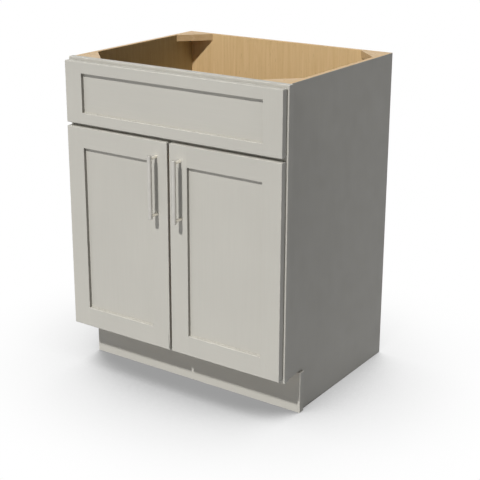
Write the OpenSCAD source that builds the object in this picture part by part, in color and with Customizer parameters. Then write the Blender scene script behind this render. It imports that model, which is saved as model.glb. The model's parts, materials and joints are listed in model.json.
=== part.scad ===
// Vanity sink base: a face-frame cabinet with two framed doors under a fixed false drawer front.
// Millimetres. +Z is up, -Y is the front, and the origin is on the floor under the middle.
// Most modules are drawn with y = 0 on the face frame's front and moved into place at the end.

/* [Cabinet] */
// Width across the face frame
cabinet_w = 685.8; // [560:0.1:920]
// Height from the floor to the worktop seat
cabinet_h = 876.3; // [760:0.1:920]
// Depth from the face frame's front to the wall
cabinet_d = 533.4; // [400:0.1:620]
// Thickness of the side panels
side_t = 12.7; // [11:0.1:19]
// Thickness of the bottom panel
bottom_t = 12.7; // [9:0.1:19]
// Thickness of the back panel
back_t = 12.7; // [11:0.1:19]
// Depth of the housings in the side panels that hold the bottom and the back
housing_d = 5; // [3:0.1:7]
// Gap left for glue at the end of each housing, mortise and groove
glue_gap = 0.2; // [0.1:0.05:0.5]

/* [Face frame] */
// Thickness of the face frame
frame_t = 19; // [16:0.1:22]
// How far the face frame stands proud of each side panel
frame_overhang = 6.35; // [3:0.05:9]
// Width of the top rail
top_rail_w = 38; // [32:0.1:60]
// Width of the middle rail
middle_rail_w = 38; // [32:0.1:60]
// Width of the bottom rail
bottom_rail_w = 38; // [32:0.1:60]
// Length of the rails' tenons
tenon_l = 10; // [6:0.1:14]
// Thickness of the rails' tenons
tenon_t = 6; // [4:0.1:8]
// Shoulder above and below each tenon
tenon_shoulder = 6; // [3:0.1:9]

/* [Doors and false front] */
// Thickness of the doors and of the false front
door_t = 19; // [17:0.1:22]
// Air gap between the face frame and the backs of the doors
door_gap = 2.5; // [1.8:0.1:3]
// Face frame left showing outside each door
side_reveal = 4; // [3:0.1:6]
// Face frame left showing above the false front
top_reveal = 7; // [2:0.1:14]
// Face frame left showing below the doors
bottom_reveal = 10.6; // [2:0.1:16]
// Gap between the two doors
centre_gap = 6.8; // [3:0.1:12]
// Gap between the false front and the doors
middle_gap = 9.5; // [3:0.1:12]
// Height of the false front
false_front_h = 166; // [140:0.1:190]
// Width of the doors' stiles and rails, and of the false front's stiles
member_w = 55.5; // [52:0.1:70]
// Width of the false front's rails
front_rail_w = 30.2; // [26:0.1:42]
// Depth of the panels below the front of their frames
recess_d = 9.5; // [6:0.1:9.8]
// Thickness of the flat panels
panel_t = 6.4; // [5:0.1:7]
// Depth of the grooves that hold the panels
groove_d = 10; // [7:0.1:12]
// Room left for a panel to swell in its groove
panel_float = 1.5; // [0.5:0.1:3]
// Shoulder outside each rail tongue
tongue_shoulder = 8; // [4:0.1:11]
// Radius of the eased back edge on the hinge side of each door
hinge_edge_r = 2; // [1.9:0.05:2.5]
// Diameter of the bumpers and of the false front's pads
bumper_d = 8; // [6:0.1:9]
// Distance from a door's edges to the centre of a bumper
bumper_inset = 9; // [6:0.1:10]
// Clearance between a bumper and the face frame
bumper_fit = 0.3; // [0.2:0.05:0.5]

/* [Handles] */
// Diameter of the handle bars
bar_d = 12; // [10:0.1:16]
// Length of the handle bars
bar_l = 168; // [160:0.1:220]
// Distance between the two posts of a handle
post_spacing = 152.4; // [96:0.1:155]
// Diameter of the posts
post_d = 8; // [7:0.1:10]
// Distance from a door's face to the middle of the bar
bar_reach = 27.5; // [24:0.1:40]
// Chamfer on the ends of the bars
bar_chamfer = 0.8; // [0.4:0.1:2]
// Diameter of the spigot that joins a post to its bar
spigot_d = 5; // [4:0.1:6]
// Depth of the spigot in the bar
spigot_l = 4; // [2:0.1:5]
// Distance from a door's meeting edge to the handle
handle_inset = 35; // [24:0.1:40]
// Distance from a door's top to the upper post
handle_drop = 41.5; // [30:0.1:120]
// Diameter of the handle screws
handle_screw_d = 4; // [3.5:0.1:5]
// Depth of each handle screw in its post
handle_screw_grip = 8; // [6:0.1:12]
// Diameter of the handle screws' heads
handle_screw_head_d = 7.8; // [7:0.1:10]
// Height of the handle screws' heads
handle_screw_head_h = 2.4; // [2:0.1:3]

/* [Hinges] */
// How far a door laps over the face frame on its hinge side
overlay = 34; // [24:0.1:34.5]
// Diameter of the hinge cups
cup_d = 35; // [34:0.1:37]
// Door edge left outside a hinge cup
cup_tab = 3; // [2.6:0.05:3.2]
// Depth of the hinge cups
cup_depth = 12; // [11.9:0.05:13]
// Gap left under each hinge cup in its bore
bore_gap = 0.3; // [0.1:0.05:0.6]
// Wall of the hinge cups
cup_wall = 0.8; // [0.6:0.05:0.9]
// Thickness of the hinge cups' flanges
flange_t = 1; // [0.8:0.05:1.2]
// Width of the flange outside the cup's rim
flange_w = 1.8; // [1:0.1:3]
// How far the flange stops short of the cup's rim beside the door's edge
flange_trim = 0.6; // [0.4:0.05:1.5]
// Distance between the two screws of a hinge cup
cup_screw_spacing = 45; // [42:0.1:50]
// Offset of those screws from the middle of the cup
cup_screw_offset = 9.5; // [8:0.1:11]
// Radius of the ears round those screws
ear_r = 5; // [4.5:0.1:6]
// Distance from a door's ends to the middle of a hinge cup
hinge_inset = 80; // [60:0.1:120]
// Distance from a door's edge to the hinge pin
pivot_inset = 7; // [6.9:0.05:7.2]
// Distance from a door's back to the hinge pin
pivot_depth = 8.5; // [8.3:0.05:8.6]
// Diameter of the hinge pins
pin_d = 2; // [1.8:0.05:2.1]
// Radial clearance of the arms on the pins
pin_fit = 0.05; // [0.02:0.01:0.09]
// Thickness of the hinge arms
arm_t = 1.05; // [0.9:0.05:1.1]
// Width of the hinge arms inside their cups
arm_w = 10; // [8:0.1:10.4]
// Side clearance between an arm and the cheeks of its cup
cheek_fit = 0.4; // [0.2:0.05:0.6]
// Thickness of those cheeks
cheek_t = 2; // [1.4:0.1:2.4]
// Height of the plate that screws an arm to the face frame
plate_h = 36; // [32:0.1:44]
// Distance between the two screws of that plate
plate_screw_spacing = 22; // [18:0.1:24]
// Margin between the plate and the faces of the face frame
plate_margin = 1.5; // [1:0.1:3]

/* [Inside] */
// Length of the corner blocks along the walls
block_leg = 76; // [66:0.1:90]
// Thickness of the corner blocks
block_t = 19; // [16:0.1:22]
// Diameter of the worktop screw holes
worktop_hole_d = 5; // [4:0.1:6]
// Distance from the walls to each worktop screw hole
worktop_hole_inset = 22; // [18:0.1:26]
// Distance from the walls to a corner block's nails
block_nail_inset = 49; // [44:0.1:52]
// Width of the false front's cleats
cleat_w = 30; // [24:0.1:36]
// Thickness of the false front's cleats
cleat_t = 19; // [16:0.1:22]
// How far the cleats lap over the frame rails
cleat_lap = 14; // [9:0.1:16]
// Distance from the frame opening's edge to the false front's screws
cleat_screw_inset = 6; // [4:0.1:8]
// Distance from the frame opening's top and bottom to those screws
cleat_screw_margin = 20; // [12:0.1:30]

/* [Toe space] */
// Height of the toe space
toe_h = 114.3; // [90:0.1:130]
// Distance from the face frame's front to the toe board
toe_setback = 77; // [50:0.1:100]
// Thickness of the toe board
toe_t = 18; // [12:0.1:20]
// Thickness of the board behind the toe board
sub_toe_t = 12.7; // [11:0.1:19]

/* [Fasteners] */
// Diameter of the wood screws
screw_d = 3.5; // [3:0.1:4]
// Diameter of the wood screws' heads
screw_head_d = 7; // [6:0.1:8]
// Length of the wood screws in the hinges
hinge_screw_l = 14; // [12:0.1:15]
// Length of the wood screws in the back
back_screw_l = 32; // [25:0.1:40]
// Distance from the side panels' insides to the outer screws in the back
back_screw_inset = 65; // [30:0.1:110]
// Length of the screws that hold the false front
front_screw_l = 50; // [45:0.1:52]
// Width of the crossed slots in the screws' heads
slot_w = 0.8; // [0.6:0.05:1.1]
// Depth of those slots
slot_depth = 1.2; // [0.8:0.05:1.5]
// Diameter of the nails
nail_d = 1.6; // [1.4:0.1:2]
// Diameter of the nails' heads
nail_head_d = 2.6; // [2.2:0.1:3.4]
// Depth of the nails' heads below the painted faces, which filler covers
nail_set = 1; // [0.6:0.1:2]
// Height of the nails' heads
nail_head_h = 1; // [0.8:0.1:1.4]
// Length of the nails in the face frame and the corner blocks
nail_l = 32; // [31:0.1:34]
// Length of the nails in the toe board
toe_nail_l = 28; // [24:0.1:29]
// Length of the nails' points
nail_point_l = 2; // [1:0.1:3]
// Distance from the ends of the frame's stiles to the nails nearest to them
frame_nail_inset = 60; // [40:0.1:90]
// Distance from the toe board's top and bottom edges to its nails
toe_nail_inset = 30; // [20:0.1:34]
// Number of nails in each row along the toe board
toe_nail_count = 4; // [3:1:6]
// How far a corner block's nails reach into the walls
nail_bite = 8; // [5:0.1:10]
// Radial clearance round the shank of each fastener
fastener_fit = 0.05; // [0.02:0.01:0.1]

/* [Hidden] */
$fn = 48;

// Overrun of each cut past the face it opens
cut = 1;

// Colours
paint = [0.75, 0.74, 0.71];
veneer = [0.85, 0.70, 0.49];
solid_maple = [0.84, 0.72, 0.55];
nickel = [0.80, 0.78, 0.74];
zinc = [0.72, 0.73, 0.74];
clear_rubber = [0.88, 0.88, 0.86];

// Carcass, measured from the middle, the frame's front and the floor
frame_x = cabinet_w / 2;
side_x = frame_x - frame_overhang;
inner_x = side_x - side_t;
housing_x = inner_x + housing_d;
frame_stile_w = side_reveal + overlay;
opening_x = frame_x - frame_stile_w;
inner_back_y = cabinet_d - back_t;
bottom_top_z = toe_h + bottom_rail_w;
bottom_z = bottom_top_z - bottom_t;
notch_y = toe_setback + toe_t;
side_mid_x = (side_x + inner_x) / 2;

// Doors and false front
door_x = frame_x - side_reveal;
door_meeting_x = centre_gap / 2;
door_back_y = -door_gap;
door_front_y = door_back_y - door_t;
panel_y = door_front_y + recess_d;
panel_back_y = panel_y + panel_t;
panel_lap = groove_d - panel_float;
tongue_l = groove_d - glue_gap;
front_top_z = cabinet_h - top_reveal;
front_bottom_z = front_top_z - false_front_h;
door_top_z = front_bottom_z - middle_gap;
door_bottom_z = toe_h + bottom_reveal;
door_zs = [door_bottom_z, door_top_z];
front_zs = [front_bottom_z, front_top_z];
door_xs = [-door_x + member_w, -door_meeting_x - member_w];
front_xs = (door_x - member_w) * [-1, 1];
door_panel_zs = door_zs + member_w * [1, -1];
front_panel_zs = front_zs + front_rail_w * [1, -1];

// Face frame rails, as lowest and highest
top_rail_zs = [cabinet_h - top_rail_w, cabinet_h];
middle_rail_z = (door_top_z + front_bottom_z - middle_rail_w) / 2;
middle_rail_zs = [middle_rail_z, middle_rail_z + middle_rail_w];
bottom_rail_zs = [toe_h, bottom_top_z];

// Hinges, on the left door
cup_x = -door_x + cup_tab + cup_d / 2;
pivot_x = -door_x + pivot_inset;
pivot_y = door_back_y - pivot_depth;
knuckle_r = pin_d / 2 + pin_fit + arm_t;
hinge_zs = [door_bottom_z + hinge_inset, door_top_z - hinge_inset];
flange_y = door_back_y + flange_t;
cup_floor_y = door_back_y - cup_depth + cup_wall / 2;
cheek_z = arm_w / 2 + cheek_fit;

// Handles, on the left door
handle_x = -door_meeting_x - handle_inset;
bar_y = door_front_y - bar_reach;
upper_post_z = door_top_z - handle_drop;
post_zs = [upper_post_z - post_spacing, upper_post_z];

// Middle of the whole depth, handles included
middle_y = (cabinet_d + bar_y - bar_d / 2) / 2;

module in_place() {
    translate([0, -middle_y, 0]) children();
}

module right_hand() {
    mirror([1, 0, 0]) children();
}

// A box between two opposite corners
module block(a, b) {
    low = [for (i = [0:2]) min(a[i], b[i])];
    high = [for (i = [0:2]) max(a[i], b[i])];
    translate(low) cube(high - low);
}

// Fasteners hang down from the top of their head at the origin. With a fit they are their holes.

module nail(fit = 0, l = nail_l) {
    translate([0, 0, -nail_head_h]) cylinder(d = nail_head_d + 2 * fit, h = nail_head_h + fit);
    translate([0, 0, nail_point_l - l]) cylinder(d = nail_d + 2 * fit, h = l - nail_point_l);
    translate([0, 0, -l - fit])
        cylinder(d1 = nail_d / 4 + 2 * fit, d2 = nail_d + 2 * fit, h = nail_point_l + fit);
}

module wood_screw(l, fit = 0) {
    head_h = (screw_head_d - screw_d) / 2;
    tip_h = 1.5 * screw_d;
    translate([0, 0, -head_h])
        cylinder(d1 = screw_d + 2 * fit, d2 = screw_head_d + 2 * fit, h = head_h);
    translate([0, 0, tip_h - l]) cylinder(d = screw_d + 2 * fit, h = l - tip_h);
    translate([0, 0, -l - fit])
        cylinder(d1 = screw_d / 5 + 2 * fit, d2 = screw_d + 2 * fit, h = tip_h + fit);
}

module screw_hole(l) {
    wood_screw(l, fastener_fit);
    cylinder(d = screw_head_d + 2 * fastener_fit, h = cut);
}

// A wood screw with its crossed driving slots
module slotted_screw(l) {
    reach = screw_head_d / 4;
    difference() {
        wood_screw(l);
        for (turn = [0, 90]) {
            rotate(turn) block([-reach, -slot_w / 2, -slot_depth], [reach, slot_w / 2, cut]);
        }
    }
}

// Places for repeated fasteners, which the fastener and every piece it goes through share

module frame_nail_places() {
    for (z = [toe_h + frame_nail_inset, (toe_h + cabinet_h) / 2, cabinet_h - frame_nail_inset]) {
        for (x = side_mid_x * [-1, 1]) {
            translate([x, nail_set, z]) rotate([90, 0, 0]) children();
        }
    }
}

module toe_nail_places() {
    spacing = 2 * side_mid_x / (toe_nail_count - 1);
    for (i = [0:toe_nail_count - 1]) {
        for (z = [toe_nail_inset, toe_h - toe_nail_inset]) {
            translate([i * spacing - side_mid_x, toe_setback + nail_set, z])
                rotate([90, 0, 0]) children();
        }
    }
}

// The frame of one corner block: its corner at the origin and its legs along +X and +Y
module corner_places(side, end) {
    y = end == "front" ? frame_t : inner_back_y;
    turn_y = end == "front" ? 0 : 1;
    turn_x = side == "left" ? 0 : 1;
    mirror([turn_x, 0, 0]) translate([-inner_x, y, cabinet_h - block_t])
        mirror([0, turn_y, 0]) children();
}

module block_nail_places() {
    head = nail_l - nail_bite;
    translate([head, block_nail_inset, block_t / 2]) rotate([0, 90, 0]) children();
    translate([block_nail_inset, head, block_t / 2]) rotate([-90, 0, 0]) children();
}

module all_block_nails(fit = 0) {
    for (side = ["left", "right"]) {
        for (end = ["front", "back"]) {
            corner_places(side, end) block_nail_places() nail(fit);
        }
    }
}

module back_screw_places() {
    for (x = (inner_x - back_screw_inset) * [-1, 0, 1]) {
        translate([x, cabinet_d, bottom_z + bottom_t / 2]) rotate([-90, 0, 0]) children();
    }
}

module front_screw_places() {
    for (z = [middle_rail_zs[1] + cleat_screw_margin, top_rail_zs[0] - cleat_screw_margin]) {
        translate([-opening_x + cleat_screw_inset, frame_t + cleat_t, z])
            rotate([-90, 0, 0]) children();
    }
}

module cup_screw_places() {
    for (z = hinge_zs) {
        for (side = [-1, 1]) {
            translate([cup_x + cup_screw_offset, flange_y, z + side * cup_screw_spacing / 2])
                rotate([-90, 0, 0]) children();
        }
    }
}

module plate_screw_places() {
    for (z = hinge_zs) {
        for (side = [-1, 1]) {
            translate([-opening_x + arm_t, frame_t / 2, z + side * plate_screw_spacing / 2])
                rotate([0, 90, 0]) children();
        }
    }
}

// Carcass

module side_panel() {
    color(veneer) difference() {
        block([-side_x, frame_t, 0], [-inner_x, cabinet_d, cabinet_h]);
        block([-side_x - cut, frame_t - cut, -cut], [-inner_x + cut, notch_y, toe_h]);
        block([-housing_x, frame_t - cut, bottom_z], [-inner_x + cut, cabinet_d, bottom_top_z]);
        block([-housing_x, inner_back_y, -cut], [-inner_x + cut, cabinet_d + cut, cabinet_h + cut]);
        frame_nail_places() nail(fastener_fit);
        toe_nail_places() nail(fastener_fit, toe_nail_l);
        all_block_nails(fastener_fit);
    }
}

module side_panel_left() {
    in_place() side_panel();
}

module side_panel_right() {
    in_place() right_hand() side_panel();
}

module bottom_panel() {
    reach_x = housing_x - glue_gap;
    in_place() color(veneer) difference() {
        block([-reach_x, frame_t, bottom_z], [reach_x, inner_back_y, bottom_top_z]);
        back_screw_places() screw_hole(back_screw_l);
    }
}

module back_panel() {
    reach_x = housing_x - glue_gap;
    in_place() color(veneer) difference() {
        block([-reach_x, inner_back_y, 0], [reach_x, cabinet_d, cabinet_h]);
        back_screw_places() screw_hole(back_screw_l);
        all_block_nails(fastener_fit);
    }
}

module back_screws() {
    in_place() color(zinc) back_screw_places() slotted_screw(back_screw_l);
}

// Face frame

module frame_tenons(zs, extra = 0) {
    block([-opening_x - tenon_l - extra, (frame_t - tenon_t) / 2, zs[0] + tenon_shoulder],
          [opening_x + tenon_l + extra, (frame_t + tenon_t) / 2, zs[1] - tenon_shoulder]);
}

module frame_stile() {
    color(paint) difference() {
        block([-frame_x, 0, toe_h], [-opening_x, frame_t, cabinet_h]);
        for (zs = [top_rail_zs, middle_rail_zs, bottom_rail_zs]) {
            frame_tenons(zs, glue_gap);
        }
        frame_nail_places() nail(fastener_fit);
        plate_screw_places() screw_hole(hinge_screw_l);
    }
}

module frame_stile_left() {
    in_place() frame_stile();
}

module frame_stile_right() {
    in_place() right_hand() frame_stile();
}

module frame_rail(zs) {
    color(paint) {
        block([-opening_x, 0, zs[0]], [opening_x, frame_t, zs[1]]);
        frame_tenons(zs);
    }
}

module frame_rail_top() {
    in_place() difference() {
        frame_rail(top_rail_zs);
        all_block_nails(fastener_fit);
    }
}

module frame_rail_middle() {
    in_place() frame_rail(middle_rail_zs);
}

module frame_rail_bottom() {
    in_place() frame_rail(bottom_rail_zs);
}

module frame_nails() {
    in_place() color(zinc) frame_nail_places() nail();
}

// Corner blocks

module corner_block(side, end) {
    in_place() color(solid_maple) corner_places(side, end) difference() {
        linear_extrude(block_t) polygon([[0, 0], [block_leg, 0], [0, block_leg]]);
        translate([worktop_hole_inset, worktop_hole_inset, -cut])
            cylinder(d = worktop_hole_d, h = block_t + 2 * cut);
        block_nail_places() nail(fastener_fit);
        block_nail_places() cylinder(d = nail_head_d + 2 * fastener_fit, h = block_leg);
    }
}

module corner_block_front_left() {
    corner_block("left", "front");
}

module corner_block_front_right() {
    corner_block("right", "front");
}

module corner_block_back_left() {
    corner_block("left", "back");
}

module corner_block_back_right() {
    corner_block("right", "back");
}

module corner_block_nails() {
    in_place() color(zinc) all_block_nails();
}

// Toe space

module toe_board() {
    in_place() color(paint) difference() {
        block([-frame_x, toe_setback, 0], [frame_x, notch_y, toe_h]);
        toe_nail_places() nail(fastener_fit, toe_nail_l);
    }
}

module sub_toe_board() {
    in_place() color(veneer) difference() {
        block([-inner_x, notch_y, 0], [inner_x, notch_y + sub_toe_t, bottom_z]);
        toe_nail_places() nail(fastener_fit, toe_nail_l);
    }
}

module toe_nails() {
    in_place() color(zinc) toe_nail_places() nail(l = toe_nail_l);
}

// Framed doors and false front. A width or height is negative where the grooved edge faces back.

module stile(outer_x, w, zs) {
    grooved_x = outer_x + w;
    side = sign(w);
    difference() {
        block([outer_x, door_front_y, zs[0]], [grooved_x, door_back_y, zs[1]]);
        block([grooved_x - side * groove_d, panel_y, zs[0] + tongue_shoulder],
              [grooved_x + side * cut, panel_back_y, zs[1] - tongue_shoulder]);
    }
}

module rail(xs, outer_z, h) {
    grooved_z = outer_z + h;
    side = sign(h);
    difference() {
        block([xs[0], door_front_y, outer_z], [xs[1], door_back_y, grooved_z]);
        block([xs[0] - cut, panel_y, grooved_z - side * groove_d],
              [xs[1] + cut, panel_back_y, grooved_z + side * cut]);
    }
    block([xs[0] - tongue_l, panel_y, outer_z + side * tongue_shoulder],
          [xs[1] + tongue_l, panel_back_y, grooved_z - side * groove_d]);
}

module flat_panel(xs, zs) {
    block([xs[0] - panel_lap, panel_y, zs[0] - panel_lap],
          [xs[1] + panel_lap, panel_back_y, zs[1] + panel_lap]);
}

// False front

module front_stile() {
    color(paint) difference() {
        stile(-door_x, member_w, front_zs);
        front_screw_places() wood_screw(front_screw_l, fastener_fit);
    }
}

module false_front_stile_left() {
    in_place() front_stile();
}

module false_front_stile_right() {
    in_place() right_hand() front_stile();
}

module false_front_rail_top() {
    in_place() color(paint) rail(front_xs, front_zs[1], -front_rail_w);
}

module false_front_rail_bottom() {
    in_place() color(paint) rail(front_xs, front_zs[0], front_rail_w);
}

module false_front_panel() {
    in_place() color(paint) flat_panel(front_xs, front_panel_zs);
}

module false_front_pads() {
    pad_x = door_x - bumper_inset - bumper_d / 2;
    in_place() color(clear_rubber) for (x = pad_x * [-1, 1]) {
        for (z = front_zs + bumper_inset * [1, -1]) {
            translate([x, 0, z]) rotate([90, 0, 0]) cylinder(d = bumper_d, h = door_gap);
        }
    }
}

module front_cleat() {
    mid_x = -opening_x + cleat_screw_inset;
    color(solid_maple) difference() {
        block([mid_x - cleat_w / 2, frame_t, middle_rail_zs[1] - cleat_lap],
              [mid_x + cleat_w / 2, frame_t + cleat_t, top_rail_zs[0] + cleat_lap]);
        front_screw_places() screw_hole(front_screw_l);
    }
}

module false_front_cleat_left() {
    in_place() front_cleat();
}

module false_front_cleat_right() {
    in_place() right_hand() front_cleat();
}

module false_front_screws() {
    in_place() color(zinc) {
        front_screw_places() slotted_screw(front_screw_l);
        right_hand() front_screw_places() slotted_screw(front_screw_l);
    }
}

// Hinge arms, fixed to the face frame

module arm_outline() {
    top_y = pivot_y - knuckle_r;
    difference() {
        union() {
            translate([pivot_x, pivot_y]) circle(knuckle_r);
            translate([pivot_x, top_y]) square([-opening_x + arm_t - pivot_x, arm_t]);
            translate([-opening_x, top_y]) square([arm_t, plate_margin - top_y]);
        }
        translate([pivot_x, pivot_y]) circle(pin_d / 2 + pin_fit);
    }
}

module hinge_arms() {
    color(zinc) difference() {
        for (z = hinge_zs) {
            translate([0, 0, z - arm_w / 2]) linear_extrude(arm_w) arm_outline();
            block([-opening_x, plate_margin, z - plate_h / 2],
                  [-opening_x + arm_t, frame_t - plate_margin, z + plate_h / 2]);
        }
        plate_screw_places() screw_hole(hinge_screw_l);
    }
}

module hinge_arms_left() {
    in_place() hinge_arms();
}

module hinge_arms_right() {
    in_place() right_hand() hinge_arms();
}

module hinge_arm_screws() {
    in_place() color(zinc) {
        plate_screw_places() slotted_screw(hinge_screw_l);
        right_hand() plate_screw_places() slotted_screw(hinge_screw_l);
    }
}

// The left door. The right door is its mirror image.

// What rounds the back edge on the hinge side off
module hinge_edge_cut() {
    translate([0, 0, door_zs[0] - cut]) linear_extrude(door_zs[1] - door_zs[0] + 2 * cut)
        translate([-door_x, door_back_y]) mirror([0, 1]) difference() {
            translate([-cut, -cut]) square(hinge_edge_r + cut);
            translate([hinge_edge_r, hinge_edge_r]) circle(hinge_edge_r);
        }
}

module along_door_y(x, y, z) {
    translate([x, y, z]) rotate([90, 0, 0]) children();
}

module door_hinge_stile() {
    color(paint) difference() {
        stile(-door_x, member_w, door_zs);
        hinge_edge_cut();
        for (z = hinge_zs) {
            along_door_y(cup_x, door_back_y + cut, z)
                cylinder(d = cup_d + 2 * fastener_fit, h = cup_depth + bore_gap + cut);
        }
        cup_screw_places() wood_screw(hinge_screw_l, fastener_fit);
    }
}

module door_meeting_stile() {
    color(paint) difference() {
        stile(-door_meeting_x, -member_w, door_zs);
        for (z = post_zs) {
            along_door_y(handle_x, door_back_y + cut, z)
                cylinder(d = handle_screw_d + 2 * fastener_fit, h = door_t + 2 * cut);
        }
    }
}

module door_rail_top() {
    color(paint) rail(door_xs, door_zs[1], -member_w);
}

module door_rail_bottom() {
    color(paint) rail(door_xs, door_zs[0], member_w);
}

module door_panel() {
    color(paint) flat_panel(door_xs, door_panel_zs);
}

module door_bumpers() {
    color(clear_rubber) for (z = door_zs + bumper_inset * [1, -1]) {
        along_door_y(-door_meeting_x - bumper_inset, -bumper_fit, z)
            cylinder(d = bumper_d, h = door_gap - bumper_fit);
    }
}

// The flange's plan, with the middle of the cup at the origin and the door's edge towards -X
module flange_plan() {
    reach = cup_d / 2 + flange_w;
    rim = cup_d / 2 - flange_trim;
    intersection() {
        circle(reach);
        translate([-rim, -reach]) square([rim + reach, 2 * reach]);
    }
    translate([cup_screw_offset - ear_r, -cup_screw_spacing / 2]) square([2 * ear_r, cup_screw_spacing]);
    for (side = [-1, 1]) {
        translate([cup_screw_offset, side * cup_screw_spacing / 2]) circle(ear_r);
    }
}

// The cheeks stand on the cup's floor and against its wall, and hold the hinge pin
module cup_cheeks(z) {
    intersection() {
        for (side = [-1, 1]) {
            block([-door_x, pivot_y + knuckle_r, z + side * cheek_z],
                  [pivot_x + knuckle_r, cup_floor_y, z + side * (cheek_z + cheek_t)]);
        }
        along_door_y(cup_x, door_back_y, z) cylinder(d = cup_d - cup_wall, h = cup_depth);
    }
}

module hinge_cup(z) {
    well = cup_depth - cup_wall + flange_t;
    difference() {
        union() {
            difference() {
                union() {
                    along_door_y(cup_x, door_back_y, z) cylinder(d = cup_d, h = cup_depth);
                    along_door_y(cup_x, flange_y, z) linear_extrude(flange_t) flange_plan();
                }
                along_door_y(cup_x, flange_y + cut, z)
                    cylinder(d = cup_d - 2 * cup_wall, h = well + cut);
            }
            cup_cheeks(z);
        }
        translate([pivot_x, pivot_y, z - cheek_z - cheek_t - cut])
            cylinder(d = pin_d + 2 * fastener_fit, h = 2 * (cheek_z + cheek_t + cut));
    }
}

module door_hinge_cups() {
    color(zinc) difference() {
        for (z = hinge_zs) {
            hinge_cup(z);
        }
        cup_screw_places() screw_hole(hinge_screw_l);
    }
}

module door_hinge_pins() {
    reach = cheek_z + cheek_t;
    color(zinc) for (z = hinge_zs) {
        translate([pivot_x, pivot_y, z - reach]) cylinder(d = pin_d, h = 2 * reach);
    }
}

module door_cup_screws() {
    color(zinc) cup_screw_places() slotted_screw(hinge_screw_l);
}

// Handles

module bar_rod(fit = 0) {
    r = bar_d / 2 + fit;
    mid_z = (post_zs[0] + post_zs[1]) / 2;
    translate([handle_x, bar_y, mid_z - bar_l / 2]) {
        cylinder(r1 = r - bar_chamfer, r2 = r, h = bar_chamfer);
        translate([0, 0, bar_chamfer]) cylinder(r = r, h = bar_l - 2 * bar_chamfer);
        translate([0, 0, bar_l - bar_chamfer]) cylinder(r1 = r, r2 = r - bar_chamfer, h = bar_chamfer);
    }
}

module spigots(fit = 0) {
    sunk = bar_reach - bar_d / 2;
    for (z = post_zs) {
        along_door_y(handle_x, door_front_y - sunk + cut, z)
            cylinder(d = spigot_d + 2 * fit, h = spigot_l + cut + fit);
    }
}

module handle_bar() {
    color(nickel) difference() {
        bar_rod();
        spigots(fastener_fit);
    }
}

module handle_screw_shanks(fit = 0) {
    for (z = post_zs) {
        along_door_y(handle_x, door_back_y, z)
            cylinder(d = handle_screw_d + 2 * fit, h = door_t + handle_screw_grip + fit);
    }
}

module handle_posts() {
    color(nickel) difference() {
        union() {
            difference() {
                for (z = post_zs) {
                    along_door_y(handle_x, door_front_y, z) cylinder(d = post_d, h = bar_reach);
                }
                bar_rod(fastener_fit);
            }
            spigots();
        }
        handle_screw_shanks(fastener_fit);
    }
}

module handle_screws() {
    reach = handle_screw_head_d / 4;
    head_y = door_back_y + handle_screw_head_h;
    color(zinc) difference() {
        union() {
            handle_screw_shanks();
            for (z = post_zs) {
                along_door_y(handle_x, head_y, z)
                    cylinder(d = handle_screw_head_d, h = handle_screw_head_h);
            }
        }
        for (z = post_zs) {
            for (turn = [0, 90]) {
                translate([handle_x, head_y, z]) rotate([0, turn, 0])
                    block([-reach, -slot_depth, -slot_w / 2], [reach, cut, slot_w / 2]);
            }
        }
    }
}

// The two doors in their places

module left_door_hinge_stile() {
    in_place() door_hinge_stile();
}

module left_door_meeting_stile() {
    in_place() door_meeting_stile();
}

module left_door_rail_top() {
    in_place() door_rail_top();
}

module left_door_rail_bottom() {
    in_place() door_rail_bottom();
}

module left_door_panel() {
    in_place() door_panel();
}

module left_door_bumpers() {
    in_place() door_bumpers();
}

module left_door_hinge_cups() {
    in_place() door_hinge_cups();
}

module left_door_hinge_pins() {
    in_place() door_hinge_pins();
}

module left_door_cup_screws() {
    in_place() door_cup_screws();
}

module left_handle_bar() {
    in_place() handle_bar();
}

module left_handle_posts() {
    in_place() handle_posts();
}

module left_handle_screws() {
    in_place() handle_screws();
}

module right_door_hinge_stile() {
    in_place() right_hand() door_hinge_stile();
}

module right_door_meeting_stile() {
    in_place() right_hand() door_meeting_stile();
}

module right_door_rail_top() {
    in_place() right_hand() door_rail_top();
}

module right_door_rail_bottom() {
    in_place() right_hand() door_rail_bottom();
}

module right_door_panel() {
    in_place() right_hand() door_panel();
}

module right_door_bumpers() {
    in_place() right_hand() door_bumpers();
}

module right_door_hinge_cups() {
    in_place() right_hand() door_hinge_cups();
}

module right_door_hinge_pins() {
    in_place() right_hand() door_hinge_pins();
}

module right_door_cup_screws() {
    in_place() right_hand() door_cup_screws();
}

module right_handle_bar() {
    in_place() right_hand() handle_bar();
}

module right_handle_posts() {
    in_place() right_hand() handle_posts();
}

module right_handle_screws() {
    in_place() right_hand() handle_screws();
}

side_panel_left();
side_panel_right();
bottom_panel();
back_panel();
back_screws();
frame_stile_left();
frame_stile_right();
frame_rail_top();
frame_rail_middle();
frame_rail_bottom();
frame_nails();
corner_block_front_left();
corner_block_front_right();
corner_block_back_left();
corner_block_back_right();
corner_block_nails();
toe_board();
sub_toe_board();
toe_nails();
false_front_stile_left();
false_front_stile_right();
false_front_rail_top();
false_front_rail_bottom();
false_front_panel();
false_front_pads();
false_front_cleat_left();
false_front_cleat_right();
false_front_screws();
hinge_arms_left();
hinge_arms_right();
hinge_arm_screws();
left_door_hinge_stile();
left_door_meeting_stile();
left_door_rail_top();
left_door_rail_bottom();
left_door_panel();
left_door_bumpers();
left_door_hinge_cups();
left_door_hinge_pins();
left_door_cup_screws();
left_handle_bar();
left_handle_posts();
left_handle_screws();
right_door_hinge_stile();
right_door_meeting_stile();
right_door_rail_top();
right_door_rail_bottom();
right_door_panel();
right_door_bumpers();
right_door_hinge_cups();
right_door_hinge_pins();
right_door_cup_screws();
right_handle_bar();
right_handle_posts();
right_handle_screws();
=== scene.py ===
# Finishes, fittings, light and camera of the vanity sink base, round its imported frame.
# Laid out as a Blender add-on and run as a script. Metres, with -Y the front and +Z up.

import json
import math

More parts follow.
